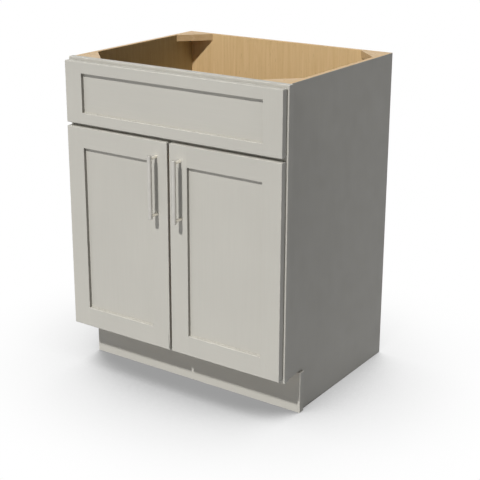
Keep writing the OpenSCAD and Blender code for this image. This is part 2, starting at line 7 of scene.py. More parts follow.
import bmesh
import bpy
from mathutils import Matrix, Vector


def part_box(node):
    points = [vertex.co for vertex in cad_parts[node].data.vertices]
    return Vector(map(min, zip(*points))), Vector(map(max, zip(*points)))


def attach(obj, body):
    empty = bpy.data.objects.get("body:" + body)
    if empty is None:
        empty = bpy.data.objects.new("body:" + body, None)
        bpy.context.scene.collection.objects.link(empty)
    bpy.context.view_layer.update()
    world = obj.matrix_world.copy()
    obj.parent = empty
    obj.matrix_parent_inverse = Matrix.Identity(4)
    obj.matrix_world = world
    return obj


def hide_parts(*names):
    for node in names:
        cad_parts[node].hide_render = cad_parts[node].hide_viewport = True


bl_info = {
    "name": "Vanity sink base",
    "version": (1, 0, 0),
    "blender": (4, 5, 0),
    "location": "3D View > Sidebar > Vanity",
    "description": "Finishes, fittings, light and camera of a face-frame vanity sink base",
    "category": "Object",
}

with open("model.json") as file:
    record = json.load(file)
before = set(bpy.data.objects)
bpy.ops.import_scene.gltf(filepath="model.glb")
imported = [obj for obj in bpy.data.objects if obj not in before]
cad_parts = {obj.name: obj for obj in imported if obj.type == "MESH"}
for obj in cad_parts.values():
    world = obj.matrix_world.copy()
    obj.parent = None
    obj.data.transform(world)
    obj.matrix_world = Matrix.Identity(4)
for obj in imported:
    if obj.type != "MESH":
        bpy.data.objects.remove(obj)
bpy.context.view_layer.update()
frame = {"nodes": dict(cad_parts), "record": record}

MM = 0.001
# Points closer than this are merged
MERGE = 0.001 * MM
# Places closer than this count as the same
NEAR = 0.01 * MM
# Faces that turn by less than this are one flat face
FLAT = math.radians(0.5)
# Edges that turn by less than this are shaded smoothly
SMOOTH = math.radians(40)
# Number of faces across each rounded edge
ROUND_STEPS = 3
# Height of the strip at each end of a stile that edges dividing flat faces are kept out of
END_STRIP = 4 * MM
SIDES = ("left", "right")
SLOT_OF = {s["node"]: s["material_slot"] for s in frame["record"]["subparts"]}


def linear(red, green, blue):
    """The linear colour of an sRGB one whose values run from 0 to 255."""
    shares = (value / 255 for value in (red, green, blue))
    return tuple(s / 12.92 if s <= 0.04045 else ((s + 0.055) / 1.055) ** 2.4 for s in shares)


def colour_property(name, description, default):
    return bpy.props.FloatVectorProperty(
        name=name, description=description, default=default, size=3, min=0, max=1, subtype="COLOR"
    )


def length_property(name, description, default, low, high):
    return bpy.props.FloatProperty(
        name=name, description=description, default=default, min=low, max=high,
        subtype="DISTANCE", unit="LENGTH", precision=5,
    )


def strength_property(name, description, default):
    return bpy.props.FloatProperty(name=name, description=description, default=default, min=0, max=6)


def share_property(name, description, default):
    return bpy.props.FloatProperty(
        name=name, description=description, default=default, min=0, max=1, subtype="FACTOR"
    )


class VanityPaint(bpy.types.PropertyGroup):
    """The paint on the frames, panels, toe board and outer sides."""

    colour: colour_property("Paint colour", "Satin paint of the painted pieces", linear(192, 189, 180))
    gloss: share_property("Paint roughness", "Roughness of the dry paint", 0.46)
    ease: length_property("Eased edges", "Radius of the fronts' outer edges", 1.9 * MM, 0.2 * MM, 1.9 * MM)
    panel_ease: length_property(
        "Inner edges", "Radius of the edges round the panels", 0.5 * MM, 0.2 * MM, 2 * MM
    )
    ledge_ease: length_property(
        "Ledges", "Radius of the edges below the panels", 1.9 * MM, 0.2 * MM, 2.5 * MM
    )
    frame_ease: length_property(
        "Frame edges", "Radius of the edges of the face frame and toe board", 1.2 * MM, 0.2 * MM, 2 * MM
    )
    # Partly wear and partly painted highlight: the paint's eased edges are made paler
    wear: share_property("Edge wear", "How much the paint thins along the edges", 0.6)
    # Painted shade: how much the stiles' sides next to the panels are darkened, where the recesses are
    # shaded
    dust: share_property("Dust", "How much dust dulls the stiles' sides, next to the panels", 0.6)


class VanityWood(bpy.types.PropertyGroup):
    """The maple of the panels, corner blocks and cleats."""

    light: colour_property("Light wood", "Pale parts of the maple veneer", linear(223, 192, 144))
    dark: colour_property("Dark wood", "Grain lines of the maple veneer", linear(211, 178, 128))
    block_light: colour_property("Light solid wood", "Pale parts of the solid maple", linear(213, 183, 139))
    block_dark: colour_property("Dark solid wood", "Grain lines of the solid maple", linear(200, 167, 121))
    figure: share_property("Figure", "Strength of the broad grain lines", 0.45)
    ply: length_property("Ply", "Thickness of each layer of the plywood", 12.7 / 9 * MM, 1 * MM, 3 * MM)
    ease: length_property("Eased edges", "Radius of the wooden pieces' edges", 0.5 * MM, 0.1 * MM, 1 * MM)


class VanityMetal(bpy.types.PropertyGroup):
    """The handles, the hinges, the screws, and the rubber of the bumpers and pads."""

    nickel: colour_property("Nickel colour", "Satin nickel of the handles", linear(196, 193, 186))
    zinc: colour_property("Zinc colour", "Zinc plate of the hinges, screws and nails", linear(190, 193, 197))
    ease: length_property("Eased edges", "Radius of the metal pieces' edges", 0.25 * MM, 0.05 * MM, 0.3 * MM)
    slot_width: length_property("Slot width", "Width of the crossed slots", 0.8 * MM, 0.5 * MM, 1.2 * MM)
    slot_depth: length_property("Slot depth", "Depth of the crossed slots", 1.2 * MM, 0.5 * MM, 1.6 * MM)
    rubber: colour_property("Rubber colour", "Clear rubber of the bumpers and pads", linear(224, 224, 219))


class VanityStage(bpy.types.PropertyGroup):
    """The floor and the lamps."""

    key: strength_property("Key light", "Strength of the main lamp, high in front", 2.8)
    top: strength_property("Top light", "Strength of the lamp overhead", 0.5)
    front: strength_property("Front light", "Strength of the soft lamp low in front", 0.35)
    fill: share_property("Fill light", "Strength of the light from all round", 0.03)
    floor: share_property("Floor", "Share of light that the floor throws back", 0.58)
    shadow_reach: length_property("Shadow reach", "Width of the soft shadow on the floor", 0.5, 0.05, 1.5)


def add_node(tree, kind, inputs=None, **settings):
    """Adds a node, makes its settings, and sets or links its inputs."""
    node = tree.nodes.new(kind)
    for name, value in settings.items():
        setattr(node, name, value)
    for name, value in (inputs or {}).items():
        connect(tree, value, node.inputs[name])
    return node


def connect(tree, value, socket):
    if isinstance(value, bpy.types.NodeSocket):
        tree.links.new(value, socket)
    else:
        socket.default_value = value


def calc(tree, operation, *values):
    """The result of a Math node."""
    return add_node(tree, "ShaderNodeMath", dict(enumerate(values)), operation=operation).outputs[0]


def times(tree, value, factor):
    return calc(tree, "MULTIPLY", value, factor)


def blend_colours(tree, factor, first, second, blend_type="MIX"):
    """The result of a Mix node on colours."""
    inputs = {0: factor, 6: first, 7: second}
    return add_node(
        tree, "ShaderNodeMix", inputs, data_type="RGBA", blend_type=blend_type, clamp_factor=True
    ).outputs[2]


def toned(tree, colour, tone):
    """A colour made darker or paler by a number."""
    grey = add_node(tree, "ShaderNodeCombineColor", {0: tone, 1: tone, 2: tone}).outputs[0]
    return blend_colours(tree, 1, colour, grey, "MULTIPLY")


def noise(tree, vector, scale, stretch=(1, 1, 1), detail=2, distortion=0):
    """A noise pattern, drawn out along the axes whose stretch is small."""
    drawn = add_node(tree, "ShaderNodeVectorMath", {0: vector, 1: stretch}, operation="MULTIPLY")
    inputs = {"Vector": drawn.outputs[0], "Scale": scale, "Detail": detail, "Distortion": distortion}
    return add_node(tree, "ShaderNodeTexNoise", inputs).outputs["Fac"]


def ramp(tree, value, low, high, start=0, end=1):
    """Moves a value from the range low to high to the range start to end, smoothly and clamped."""
    inputs = {"Value": value, "From Min": low, "From Max": high, "To Min": start, "To Max": end}
    return add_node(tree, "ShaderNodeMapRange", inputs, interpolation_type="SMOOTHSTEP").outputs[0]


def new_group(name, inputs, outputs, kind="ShaderNodeTree"):
    """A node group with named sockets. Each is given as its name and type, an input with its default too."""
    tree = bpy.data.node_groups.new(name, kind)
    for label, socket_type, default in inputs:
        socket = tree.interface.new_socket(label, in_out="INPUT", socket_type=socket_type)
        if default is not None:
            socket.default_value = default
    for label, socket_type in outputs:
        tree.interface.new_socket(label, in_out="OUTPUT", socket_type=socket_type)
    return tree, tree.nodes.new("NodeGroupInput").outputs, tree.nodes.new("NodeGroupOutput").inputs


VECTOR = "NodeSocketVector"
COLOUR = "NodeSocketColor"
NUMBER = "NodeSocketFloat"
GREY = (0.5, 0.5, 0.5, 1)
WOOD_INPUTS = [("Vector", VECTOR, None), ("Light", COLOUR, GREY), ("Dark", COLOUR, GREY)]
COAT_INPUTS = [("Vector", VECTOR, None), ("Colour", COLOUR, GREY), ("Roughness", NUMBER, 0.4)]
SURFACE_OUTPUTS = [("Colour", COLOUR), ("Roughness", NUMBER), ("Height", NUMBER)]
# Colour of the painted shade on the stiles' sides next to the panels, where the recesses are shaded
RECESS_SHADE_COLOUR = (0.11, 0.1, 0.085, 1)
# Painted shade: the side panels' veneer is made a little greyer and darker than the back's, for the shade on
# their inner faces
SIDE_PAINTED_SHADE = (0.8, 0.93, 1.08)
# Where the veneer of each side panel is taken from the grain pattern, in metres
SIDE_GRAIN = {"left": 0.4, "right": 0.9}
# For each part of a handle, the way it is brushed, how much brighter than the nickel's colour (on the posts
# a painted glint), how metallic
HANDLE_FINISHES = {"bar": ("Z", 1, 0.45), "posts": ("Y", 1.75, 0.9)}


def maple_group():
    """Maple grain that runs along Z: broad lines, fine fibres and short dark flecks."""
    inputs = [*WOOD_INPUTS, ("Figure", NUMBER, 0.5)]
    tree, given, made = new_group("Maple grain", inputs, SURFACE_OUTPUTS)
    vector = given["Vector"]
    broad = noise(tree, vector, 7, (1, 1, 0.1), 3, 0.5)
    lines = calc(tree, "SINE", times(tree, broad, 130))
    lines = calc(tree, "MULTIPLY_ADD", lines, 0.5, 0.5)
    streaks = noise(tree, vector, 150, (1, 1, 0.035), 3)
    fibres = noise(tree, vector, 520, (1, 1, 0.03), 2)
    flecks = ramp(tree, noise(tree, vector, 330, (1, 1, 0.12), 1), 0.66, 0.74)
    figure = times(tree, lines, given["Figure"])
    streaked = ramp(tree, streaks, 0.3, 0.72, 0.08, 0.58)
    shade = calc(tree, "ADD", times(tree, figure, 0.55), streaked)
    shade = calc(tree, "ADD", shade, ramp(tree, fibres, 0.3, 0.7, -0.1, 0.22))
    colour = blend_colours(tree, shade, given["Light"], given["Dark"])
    fleck_colour = blend_colours(tree, 1, given["Dark"], (0.62, 0.56, 0.5, 1), "MULTIPLY")
    colour = blend_colours(tree, times(tree, flecks, 0.35), colour, fleck_colour)
    connect(tree, colour, made["Colour"])
    connect(tree, ramp(tree, streaks, 0.3, 0.7, 0.4, 0.52), made["Roughness"])
    pores = calc(tree, "MULTIPLY_ADD", flecks, -0.8, 0)
    connect(tree, calc(tree, "ADD", fibres, pores), made["Height"])
    return tree


def plywood_edge_group():
    """The cut edge of plywood, with its layers across X."""
    inputs = [*WOOD_INPUTS, ("Ply", NUMBER, 1.4 * MM)]
    tree, given, made = new_group("Plywood edge", inputs, SURFACE_OUTPUTS)
    vector = given["Vector"]
    across = add_node(tree, "ShaderNodeSeparateXYZ", {0: vector}).outputs[0]
    turn = calc(tree, "DIVIDE", times(tree, across, math.pi), given["Ply"])
    layers = ramp(tree, calc(tree, "SINE", turn), -0.35, 0.35)
    long_grain = noise(tree, vector, 420, (1, 0.05, 0.05), 2)
    end_grain = noise(tree, vector, 900, (1, 1, 1), 2)
    shade = calc(tree, "MULTIPLY_ADD", layers, 0.5, times(tree, end_grain, 0.4))
    colour = blend_colours(tree, shade, given["Light"], given["Dark"])
    lines = ramp(tree, long_grain, 0.35, 0.65, 0.94, 1.03)
    connect(tree, toned(tree, colour, lines), made["Colour"])
    connect(tree, ramp(tree, end_grain, 0.3, 0.7, 0.5, 0.65), made["Roughness"])
    connect(tree, calc(tree, "ADD", times(tree, layers, -0.4), end_grain), made["Height"])
    return tree


def paint_group():
    """Sprayed paint: a faint change of tone, grain that shows through, a fine pebbled skin, and painted
    shade on the stiles' sides beside the panels.
    """
    inputs = [*COAT_INPUTS, ("Dust", NUMBER, 0)]
    tree, given, made = new_group("Sprayed paint", inputs, SURFACE_OUTPUTS)
    vector = given["Vector"]
    tone = ramp(tree, noise(tree, vector, 5, detail=3), 0.3, 0.7, 0.985, 1.012)
    grain = noise(tree, vector, 260, (1, 1, 0.03), 3)
    skin = noise(tree, vector, 1100, detail=1)
    tone = times(tree, tone, ramp(tree, grain, 0.3, 0.7, 0.99, 1.008))
    clean = toned(tree, given["Colour"], tone)
    # Painted shade: the marked sides of the stiles are darkened towards a dark brown-grey
    corner = add_node(tree, "ShaderNodeAttribute", attribute_name="sheltered").outputs["Fac"]
    recess_shade_mask = times(tree, corner, ramp(tree, noise(tree, vector, 90), 0.3, 0.7, 0.85, 1))
    recess_shade_mask = times(tree, recess_shade_mask, given["Dust"])
    connect(tree, blend_colours(tree, recess_shade_mask, clean, RECESS_SHADE_COLOUR), made["Colour"])
    uneven = ramp(tree, noise(tree, vector, 24, detail=2), 0.3, 0.7, -0.05, 0.05)
    connect(tree, calc(tree, "ADD", given["Roughness"], uneven), made["Roughness"])
    height = calc(tree, "MULTIPLY_ADD", skin, 0.45, times(tree, grain, 0.55))
    connect(tree, height, made["Height"])
    return tree


def metal_group():
    """Metal brushed or drawn along Z, with a faint change of tone."""
    inputs = [*COAT_INPUTS, ("Brush", NUMBER, 1)]
    tree, given, made = new_group("Brushed metal", inputs, SURFACE_OUTPUTS)
    vector = given["Vector"]
    brush = noise(tree, vector, 2600, (1, 1, 0.02), 2)
    cloud = noise(tree, vector, 60, detail=3)
    tone = ramp(tree, cloud, 0.3, 0.7, 0.95, 1.03)
    tone = times(tree, tone, ramp(tree, brush, 0.3, 0.7, 0.97, 1.02))
    connect(tree, toned(tree, given["Colour"], tone), made["Colour"])
    uneven = ramp(tree, times(tree, brush, cloud), 0.1, 0.4, -0.04, 0.06)
    connect(tree, calc(tree, "ADD", given["Roughness"], uneven), made["Roughness"])
    connect(tree, times(tree, brush, given["Brush"]), made["Height"])
    return tree


def wear_group():
    """A broken mask along the edges, from the share of each face that is an eased edge."""
    inputs = [("Vector", VECTOR, None), ("Edge", NUMBER, 0), ("Amount", NUMBER, 0.3)]
    tree, given, made = new_group("Edge wear", inputs, [("Mask", NUMBER)])
    patches = ramp(tree, noise(tree, given["Vector"], 38, detail=4), 0.42, 0.68)
    mask = times(tree, times(tree, patches, given["Edge"]), given["Amount"])
    connect(tree, mask, made["Mask"])
    return tree


# Turns that bring each axis of a piece to the pattern's Z
GRAIN_TURNS = {"X": (0, math.radians(-90), 0), "Y": (math.radians(90), 0, 0), "Z": (0, 0, 0)}
GROUP_MAKERS = {
    "Maple grain": maple_group,
    "Plywood edge": plywood_edge_group,
    "Sprayed paint": paint_group,
    "Brushed metal": metal_group,
    "Edge wear": wear_group,
}


def group(name):
    """A node group, made the first time that it is asked for."""
    return bpy.data.node_groups.get(name) or GROUP_MAKERS[name]()


def material(name, surface, inputs, turn, bump, worn, plain, offset=(0, 0, 0)):
    """A material: one surface group on object coordinates, a fine bump, edges paled by wear (on the paint
    also a painted highlight) and plain gloss values.

    bump is the height of the pattern in metres. The next argument is the edges' colour and its amount: wear,
    and on the paint also a painted highlight.
    """
    if name in bpy.data.materials:
        return bpy.data.materials[name]
    made = bpy.data.materials.new(name)
    made.use_nodes = True
    tree = made.node_tree
    shader = tree.nodes["Principled BSDF"]
    place = add_node(tree, "ShaderNodeTexCoord").outputs["Object"]
    mapping = {"Vector": place, "Location": offset, "Rotation": turn}
    vector = add_node(tree, "ShaderNodeMapping", mapping).outputs[0]
    skin = add_node(tree, "ShaderNodeGroup", {}, node_tree=group(surface))
    for label, value in {"Vector": vector, **inputs}.items():
        connect(tree, value, skin.inputs[label])
    edge = add_node(tree, "ShaderNodeAttribute", attribute_name="eased").outputs["Fac"]
    wear = add_node(tree, "ShaderNodeGroup", {}, node_tree=group("Edge wear"))
    for label, value in {"Vector": vector, "Edge": edge, "Amount": worn[1]}.items():
        connect(tree, value, wear.inputs[label])
    mask = wear.outputs["Mask"]
    connect(tree, blend_colours(tree, mask, skin.outputs["Colour"], worn[0]), shader.inputs["Base Color"])
    roughness = calc(tree, "MULTIPLY_ADD", mask, -0.12, skin.outputs["Roughness"])
    connect(tree, roughness, shader.inputs["Roughness"])
    height = {"Height": skin.outputs["Height"], "Distance": bump, "Strength": 1.0}
    connect(tree, add_node(tree, "ShaderNodeBump", height).outputs[0], shader.inputs["Normal"])
    for label, value in plain.items():
        shader.inputs[label].default_value = value
    return made


def opaque(colour):
    return (*colour, 1)


def shaded(colour, share):
    """A colour made darker, or paler where share is above 1."""
    return tuple(min(1, value * share) for value in colour) + (1,)


def paint(axis="Z"):
    """Paint over wood whose grain runs along an axis."""
    look = bpy.context.scene.vanity_paint
    # The paint's edges are 1.3 times paler: partly wear, partly a painted highlight on the rounded edges
    return material(
        f"satin_paint_{axis.lower()}", "Sprayed paint",
        {"Colour": opaque(look.colour), "Roughness": look.gloss, "Dust": look.dust},
        GRAIN_TURNS[axis], 0.02 * MM, (shaded(look.colour, 1.3), look.wear), {"Specular IOR Level": 0.35},
    )


def veneer(axis="Z", offset=(0, 0, 0), tint=(1, 1, 1)):
    """Clear-coated maple veneer with its grain along an axis. The last argument multiplies its colours, a
    painted shade where it is below one.
    """
    look = bpy.context.scene.vanity_wood
    name = f"maple_veneer_{axis.lower()}" + "".join(f"_{round(value * 100)}" for value in offset if value)
    light, dark = (tuple(a * b for a, b in zip(colour, tint)) for colour in (look.light, look.dark))
    return material(
        name, "Maple grain",
        {"Light": opaque(light), "Dark": opaque(dark), "Figure": look.figure},
        GRAIN_TURNS[axis], 0.03 * MM, (shaded(look.light, 1.1), 0.3),
        {"Specular IOR Level": 0.3}, offset,
    )


def plywood_edge(axis):
    """The cut edges of a panel whose layers lie across an axis."""
    look = bpy.context.scene.vanity_wood
    turns = {"X": (0, 0, 0), "Y": (0, 0, math.radians(-90)), "Z": (0, math.radians(90), 0)}
    low = {
        "X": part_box("side_panel_right")[0].x,
        "Y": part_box("back_panel")[0].y,
        "Z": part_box("bottom_panel")[0].z,
    }
    return material(
        f"plywood_edge_{axis.lower()}", "Plywood edge",
        {"Light": shaded(look.block_light, 1.06), "Dark": shaded(look.block_dark, 1.02), "Ply": look.ply},
        turns[axis], 0.04 * MM, (shaded(look.light, 1.1), 0.3), {}, (-low[axis], 0, 0),
    )


def solid_maple(axis="X"):
    look = bpy.context.scene.vanity_wood
    return material(
        f"solid_maple_{axis.lower()}", "Maple grain",
        {"Light": opaque(look.block_light), "Dark": opaque(look.block_dark), "Figure": 0.7},
        GRAIN_TURNS[axis], 0.04 * MM, (shaded(look.block_light, 1.1), 0.4), {},
    )


def nickel(axis, painted_glint, metallic):
    """Satin nickel brushed along an axis. The second argument is how much brighter than the colour it is, a
    painted glint where above one.
    """
    look = bpy.context.scene.vanity_metal
    return material(
        f"satin_nickel_{axis.lower()}", "Brushed metal",
        {"Colour": shaded(look.nickel, painted_glint), "Roughness": 0.34, "Brush": 1},
        GRAIN_TURNS[axis], 0.006 * MM, (shaded(look.nickel, 1.15), 0.5), {"Metallic": metallic},
    )


def zinc(axis="Z"):
    """Bright zinc plate on pressed or turned steel."""
    look = bpy.context.scene.vanity_metal
    return material(
        f"zinc_plate_{axis.lower()}", "Brushed metal",
        {"Colour": opaque(look.zinc), "Roughness": 0.3, "Brush": 0.5},
        GRAIN_TURNS[axis], 0.006 * MM, (shaded(look.zinc, 1.1), 0.5), {"Metallic": 0.9},
    )


def rubber():
    look = bpy.context.scene.vanity_metal
    return material(
        "clear_soft_rubber", "Sprayed paint", {"Colour": opaque(look.rubber), "Roughness": 0.5},
        GRAIN_TURNS["Y"], 0.01 * MM, (shaded(look.rubber, 1.05), 0.2), {"Transmission Weight": 0.35},
    )


def merged_copy(node):
    """A bmesh copy of a CAD node with its triangles joined into flat faces."""
    mesh = bmesh.new()
    mesh.from_mesh(frame["nodes"][node].data)
    bmesh.ops.remove_doubles(mesh, verts=mesh.verts, dist=MERGE)
    bmesh.ops.dissolve_limit(
        mesh, angle_limit=FLAT, verts=mesh.verts, edges=mesh.edges, use_dissolve_boundaries=False
    )
    return mesh


def same(a, b):
    return abs(a - b) < NEAR


def sharp(edge, least=50):
    """Whether an edge points outwards and turns by at least so many degrees."""
    return edge.is_convex and edge.calc_face_angle(0) > math.radians(least)


def axis_of(edge):
    """The axis that an edge runs along, as 0, 1 or 2, or None."""
    way = [abs(value) for value in edge.verts[1].co - edge.verts[0].co]
    along = [i for i in range(3) if way[i] > NEAR]
    return along[0] if len(along) == 1 else None


def ease(mesh, edges, radius):
    """Rounds edges over, and marks the new faces for the edges' wear, which on the paint is also a painted
    highlight.
    """
    layer = mesh.loops.layers.float.get("eased") or mesh.loops.layers.float.new("eased")
    made = bmesh.ops.bevel(
        mesh, geom=edges, offset=radius, offset_type="OFFSET", segments=ROUND_STEPS, profile=0.5,
        affect="EDGES", clamp_overlap=False, loop_slide=True, material=-1,
    )
    for face in made["faces"]:
        for loop in face.loops:
            loop[layer] = 1.0


def add_piece(name, mesh, materials, body, slot, stands_for):
    """Turns a bmesh into a finished piece that rides on a body and stands for CAD nodes."""
    mesh.normal_update()
    data = bpy.data.meshes.new(name)
    mesh.to_mesh(data)
    mesh.free()
    data.attributes.remove(data.attributes["custom_normal"])
    for each in materials:
        data.materials.append(each)
    piece = bpy.data.objects.new(name, data)
    bpy.context.scene.collection.objects.link(piece)
    smooth_rounds(piece)
    declare(piece, body, slot, stands_for)
    return piece


def smooth_rounds(piece):
    """Shades rounded edges smoothly and flat faces flat, with the normals kept in the mesh."""
    piece.data.shade_smooth()
    piece.data.set_sharp_from_angle(angle=SMOOTH)
    weighted = piece.modifiers.new("Flat faces first", "WEIGHTED_NORMAL")
    weighted.keep_sharp = True
    weighted.weight = 100
    bake_modifiers(piece)


def bake_modifiers(piece):
    """Puts what the modifiers make into the mesh and removes them."""
    graph = bpy.context.evaluated_depsgraph_get()
    graph.update()
    baked = bpy.data.meshes.new_from_object(piece.evaluated_get(graph))
    baked.name = piece.name
    piece.modifiers.clear()
    old = piece.data
    piece.data = baked
    bpy.data.meshes.remove(old)


def declare(piece, body, slot, stands_for):
    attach(piece, body)
    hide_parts(*stands_for)


def on_edge(value, ends):
    return any(same(value, end) for end in ends)


def exposed_edges(mesh, depths, outer, openings):
    """The edges of a frame's member that can be felt once it is together.

    They come as those outside, those beside and above the openings, and those of the ledges below them.
    Where a hinge stile's corner is round, the round's two ends are outside edges too.
    depths are the frame's front and back, and outer and each opening are (low x, high x, low z, high z).
    """
    outside, inside, ledges = [], [], []
    for edge in mesh.edges:
        along = axis_of(edge)
        middle = (edge.verts[0].co + edge.verts[1].co) / 2
        if not sharp(edge):
            continue
        if along is None:
            if all(on_edge(vertex.co.z, outer[2:]) for vertex in edge.verts):
                outside.append(edge)
            continue
        at_sides = on_edge(middle.x, outer[:2])
        at_ends = on_edge(middle.z, outer[2:])
        if along == 1 and at_sides and at_ends:
            outside.append(edge)
        elif along != 1 and on_edge(middle.y, depths):
            if at_sides if along == 2 else at_ends:
                outside.append(edge)
            elif any(
                on_edge(middle.x, hole[:2]) and hole[2] < middle.z < hole[3] if along == 2
                else on_edge(middle.z, hole[2:]) and hole[0] < middle.x < hole[1]
                for hole in openings
            ):
                below = along == 0 and on_edge(middle.z, [hole[2] for hole in openings])
                (ledges if below else inside).append(edge)
    return outside, inside, ledges


def cut_level(mesh, height):
    """Cuts a mesh's faces along a level plane."""
    every = mesh.verts[:] + mesh.edges[:] + mesh.faces[:]
    bmesh.ops.bisect_plane(mesh, geom=every, plane_co=(0, 0, height), plane_no=(0, 0, 1), dist=MERGE)


def clear_ends(mesh, ends):
    """Keeps edges that only divide flat faces off a stile's ends, so that the rounding there is even."""
    for height in (ends[0] + END_STRIP, ends[1] - END_STRIP):
        cut_level(mesh, height)
    flat = [
        edge for edge in mesh.edges
        if edge.calc_face_angle(1) < FLAT and any(on_edge(vertex.co.z, ends) for vertex in edge.verts)
    ]
    bmesh.ops.dissolve_edges(mesh, edges=flat, use_verts=False)


def mark_recess_shade(mesh, openings):
    """Marks the sides of a stile that face an opening, for the painted shade laid there."""
    layer = mesh.loops.layers.float.new("sheltered")
    mesh.normal_update()
    for face in mesh.faces:
        middle = face.calc_center_median()
        if abs(face.normal.x) > 0.9 and any(on_edge(middle.x, hole[:2]) for hole in openings):
            for loop in face.loops:
                loop[layer] = 1.0


def build_frame(stiles, rails, body, radii):
    """Finishes the stiles and rails of one frame. The rails are listed from the lowest up.

    radii are those of the edges outside, round the openings, and of the ledges below them.
    """
    left, right = (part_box(node) for node in stiles)
    levels = [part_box(node) for node in rails]
    outer = (left[0].x, right[1].x, left[0].z, left[1].z)
    openings = [
        (left[1].x, right[0].x, below[1].z, above[0].z) for below, above in zip(levels, levels[1:])
    ]
    depths = (left[0].y, left[1].y)
    for node in (*stiles, *rails):
        mesh = merged_copy(node)
        if node in stiles:
            # An edge beside an opening is eased only as far as the opening goes
            for height in sorted({z for hole in openings for z in hole[2:]}):
                cut_level(mesh, height)
            clear_ends(mesh, outer[2:])
        for edges, radius in zip(exposed_edges(mesh, depths, outer, openings), radii):
            ease(mesh, edges, radius)
        # The stiles' sides beside the openings are marked for the painted shade
        if node in stiles:
            mark_recess_shade(mesh, openings)
        axis = "Z" if node in stiles else "X"
        add_piece(f"{node}_finished", mesh, [paint(axis)], body, "painted_wood", [node])


def long_edges(mesh, least):
    """The outward edges that are at least so long."""
    return [edge for edge in mesh.edges if sharp(edge) and edge.calc_length() > least]


def build_board(node, body, radius, materials, choose=None, least=12 * MM):
    """Finishes one board or block. choose gives the material's number for each face."""
    mesh = merged_copy(node)
    ease(mesh, long_edges(mesh, least), radius)
    mesh.normal_update()
    if choose:
        for face in mesh.faces:
            face.material_index = choose(face)
    return add_piece(f"{node}_finished", mesh, materials, body, SLOT_OF[node], [node])


class VANITY_OT_carcass(bpy.types.Operator):
    """Finishes the side panels, the back, the bottom and the boards of the toe space"""

    bl_idname = "vanity.carcass"
    bl_label = "Carcass"

    def execute(self, context):
        radius = context.scene.vanity_wood.ease
        for side in SIDES:
            node = f"side_panel_{side}"
            low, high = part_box(node)
            outside = low.x if side == "left" else high.x

            def choose(face):
                middle = face.calc_center_median()
                if abs(middle.x - outside) < radius and abs(face.normal.x) > 0.3:
                    return 0
                return 1 if abs(face.normal.x) > 0.7 else 2

            # The side panels' inner faces take a greyer, darker copy of the veneer, as painted shade
            inner = veneer("Z", (SIDE_GRAIN[side], 0, 0), SIDE_PAINTED_SHADE)
            materials = [paint(), inner, plywood_edge("X")]
            build_board(node, "cabinet", radius, materials, choose)

        def across_depth(face):
            return 0 if abs(face.normal.y) > 0.7 else 1

        def across_height(face):
            return 0 if abs(face.normal.z) > 0.7 else 1

        build_board("back_panel", "cabinet", radius, [veneer(), plywood_edge("Y")], across_depth)
        build_board("bottom_panel", "cabinet", radius, [veneer("X"), plywood_edge("Z")], across_height)
        build_board("sub_toe_board", "cabinet", radius, [veneer("X"), plywood_edge("Y")], across_depth)
        build_board("toe_board", "cabinet", context.scene.vanity_paint.frame_ease, [paint("X")])
        return {"FINISHED"}


class VANITY_OT_face_frame(bpy.types.Operator):
    """Finishes the stiles and rails of the face frame"""

    bl_idname = "vanity.face_frame"
    bl_label = "Face frame"

    def execute(self, context):
        stiles = [f"frame_stile_{side}" for side in SIDES]
        rails = [f"frame_rail_{level}" for level in ("bottom", "middle", "top")]
        radius = context.scene.vanity_paint.frame_ease
        build_frame(stiles, rails, "cabinet", (radius, radius, radius))
        return {"FINISHED"}


class VANITY_OT_blocks(bpy.types.Operator):
    """Finishes the corner blocks and the cleats of the false front"""

    bl_idname = "vanity.blocks"
    bl_label = "Corner blocks and cleats"

    def execute(self, context):
        radius = context.scene.vanity_wood.ease
        for side in SIDES:
            for end in ("front", "back"):
                build_board(f"corner_block_{end}_{side}", "cabinet", radius, [solid_maple("X")])
            build_board(f"false_front_cleat_{side}", "cabinet", radius, [solid_maple("Z")])
        return {"FINISHED"}


class VANITY_OT_false_front(bpy.types.Operator):
    """Finishes the false drawer front's frame and panel"""

    bl_idname = "vanity.false_front"
    bl_label = "False front"

    def execute(self, context):
        stiles = [f"false_front_stile_{side}" for side in SIDES]
        rails = [f"false_front_rail_{level}" for level in ("bottom", "top")]
        look = context.scene.vanity_paint
        build_frame(stiles, rails, "cabinet", (look.ease, look.panel_ease, look.ledge_ease))
        frame["nodes"]["false_front_panel"].material_slots[0].material = paint("X")
        return {"FINISHED"}


class VANITY_OT_doors(bpy.types.Operator):
    """Finishes both doors' frames and panels"""

    bl_idname = "vanity.doors"
    bl_label = "Doors"

    def execute(self, context):
        look = context.scene.vanity_paint
        for side in SIDES:
            stiles = [f"{side}_door_hinge_stile", f"{side}_door_meeting_stile"]
            stiles.sort(key=lambda node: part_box(node)[0].x)
            rails = [f"{side}_door_rail_{level}" for level in ("bottom", "top")]
            build_frame(stiles, rails, f"{side}_door", (look.ease, look.panel_ease, look.ledge_ease))
            frame["nodes"][f"{side}_door_panel"].material_slots[0].material = paint("Z")
        return {"FINISHED"}


class VANITY_OT_handles(bpy.types.Operator):
    """Finishes the bars and posts of both handles"""

    bl_idname = "vanity.handles"
    bl_label = "Handles"

    def execute(self, context):
        radius = context.scene.vanity_metal.ease
        for side in SIDES:
            for part, finish in HANDLE_FINISHES.items():
                node = f"{side}_handle_{part}"
                mesh = merged_copy(node)
                ends = [edge for edge in mesh.edges if sharp(edge, 30) and axis_of(edge) is None]
                ease(mesh, ends, radius)
                metal = [nickel(*finish)]
                add_piece(f"{node}_finished", mesh, metal, f"{side}_door", "satin_nickel", [node])
        return {"FINISHED"}


